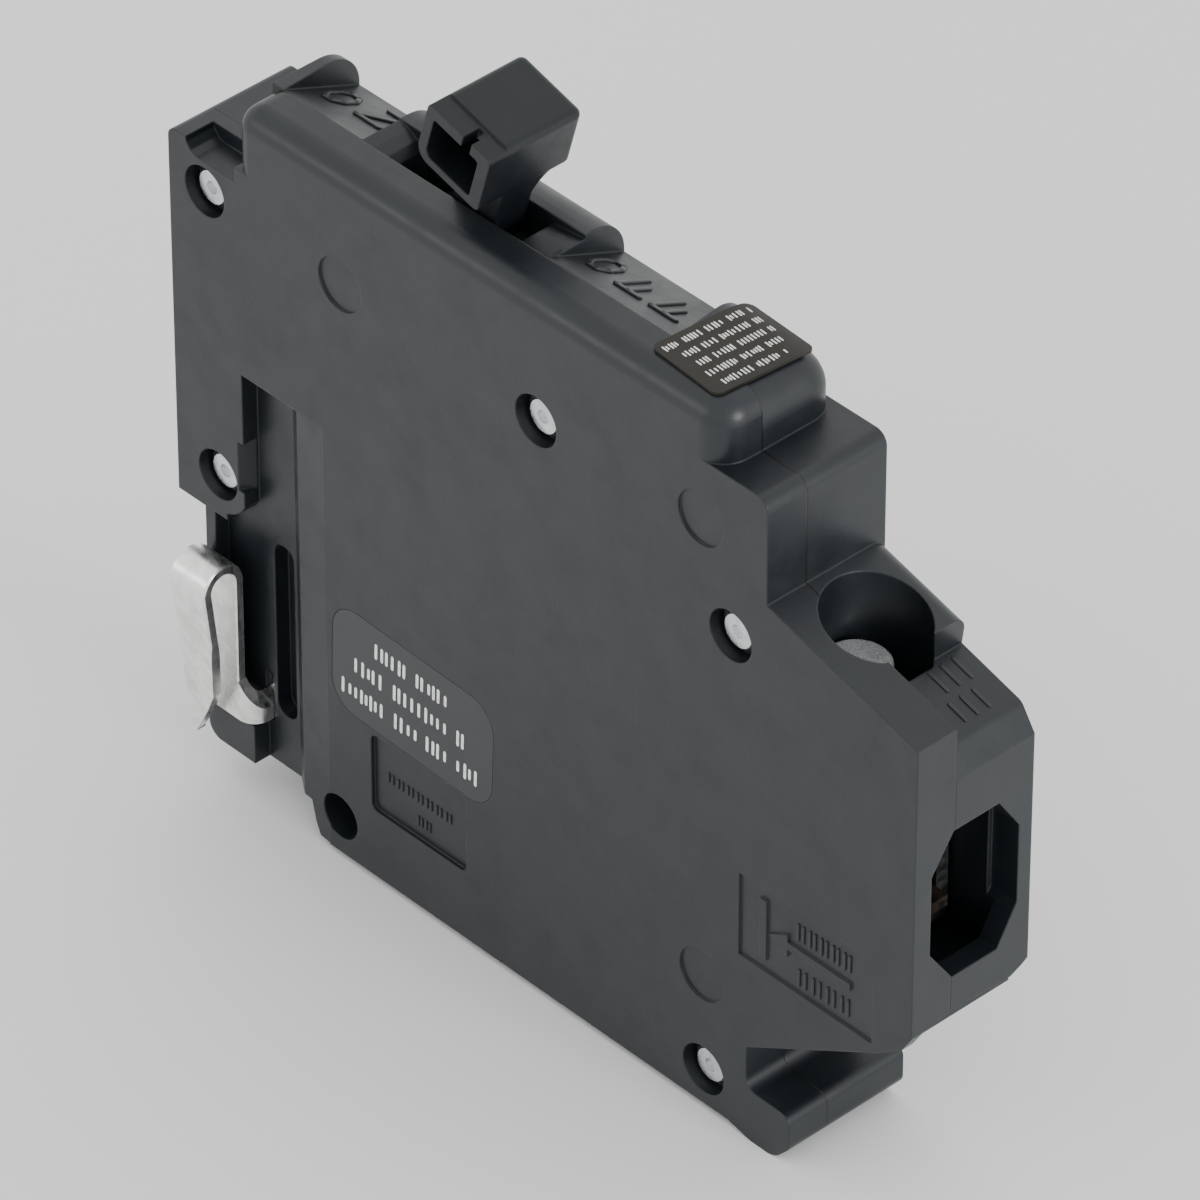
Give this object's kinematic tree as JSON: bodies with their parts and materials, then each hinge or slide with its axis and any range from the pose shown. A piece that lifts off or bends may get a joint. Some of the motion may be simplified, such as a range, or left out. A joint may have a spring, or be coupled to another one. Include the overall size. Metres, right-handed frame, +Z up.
{
  "type": "plug-in circuit breaker",
  "caption": "Thin plug-in miniature circuit breaker with a toggle handle, a hairpin line jaw, a rail hook and a screw lug for the load wire.",
  "frame": {"origin": "centre of the flat bottom face of the case", "axes": "+X from the line jaw to the wire lug, +Y from the front face to the back, +Z up to the handle"},
  "size_m": [0.086, 0.0168, 0.081],
  "materials": {
    "phenolic": "semi-gloss black phenolic",
    "handle_phenolic": "semi-gloss black phenolic",
    "zinc_steel": "bright zinc plated",
    "steel": "plain steel",
    "spring_steel": "spring wire",
    "tinned_copper": "mottled tin plating",
    "copper": "rolled copper",
    "silver": "silver contact alloy",
    "bimetal_strip": "rolled strip",
    "brass_screw": "turned brass",
    "lug_aluminium": "tinned aluminium",
    "fibre": "vulcanised fibre",
    "dark_label": "printed foil",
    "clear_label": "clear film on the case"
  },
  "bodies": {
    "case": {"base": "phenolic", "cover": "phenolic", "rivets": "zinc_steel", "handle_pin": "steel", "line_jaw": "tinned_copper", "line_strap": "copper", "stationary_contact": "silver", "armature_pin": "steel", "armature_spring": "spring_steel", "magnet_yoke": "zinc_steel", "bimetal": "bimetal_strip", "braid": "copper", "load_strap": "copper", "calibration_screw": "brass_screw", "box_lug": "lug_aluminium", "arc_plates": "steel", "arc_frame": "fibre", "label_top": "dark_label", "label_side": "clear_label"},
    "handle": {"handle": "handle_phenolic"},
    "contact_arm": {"contact_arm": "copper", "moving_contact": "silver"},
    "cradle": {"cradle": "zinc_steel", "toggle_spring": "spring_steel"},
    "armature": {"armature": "zinc_steel"},
    "pressure_plate": {"pressure_plate": "zinc_steel"},
    "lug_screw": {"lug_screw": "zinc_steel"}
  },
  "joints": [
    {"name": "handle_toggle", "type": "hinge", "parent": "case", "child": "handle", "pos_m": [-0.01375, 0, 0.0588], "axis": [0, 1, 0], "range_deg": [-40, 10], "deforming": ["toggle_spring", "braid"]},
    {"name": "arm_swing", "type": "hinge", "parent": "handle", "child": "contact_arm", "pos_m": [-0.01545, 0, 0.0541], "axis": [0, 1, 0], "range_deg": [-16.2, 64.2]},
    {"name": "cradle_trip", "type": "hinge", "parent": "case", "child": "cradle", "pos_m": [0.00025, 0, 0.0578], "axis": [0, 1, 0], "range_deg": [-20, 0]},
    {"name": "armature_pull", "type": "hinge", "parent": "case", "child": "armature", "pos_m": [0.0145, 0, 0.031], "axis": [0, 1, 0], "range_deg": [0, 4.5], "deforming": ["armature_spring"]},
    {"name": "clamp_travel", "type": "slide", "parent": "case", "child": "pressure_plate", "axis": [0, 0, 1], "range_m": [-0.0037, 0]},
    {"name": "lug_screw_turn", "type": "hinge", "parent": "pressure_plate", "child": "lug_screw", "pos_m": [0.03035, -0.00065, 0.04], "axis": [0, 0, 1], "range_deg": [-1470, 0]}
  ],
  "couplings": [
    {"joint": "arm_swing", "follows": "handle_toggle", "ratio": -1.6},
    {"joint": "lug_screw_turn", "follows": "clamp_travel", "rad_per_m": 6926.6}
  ]
}
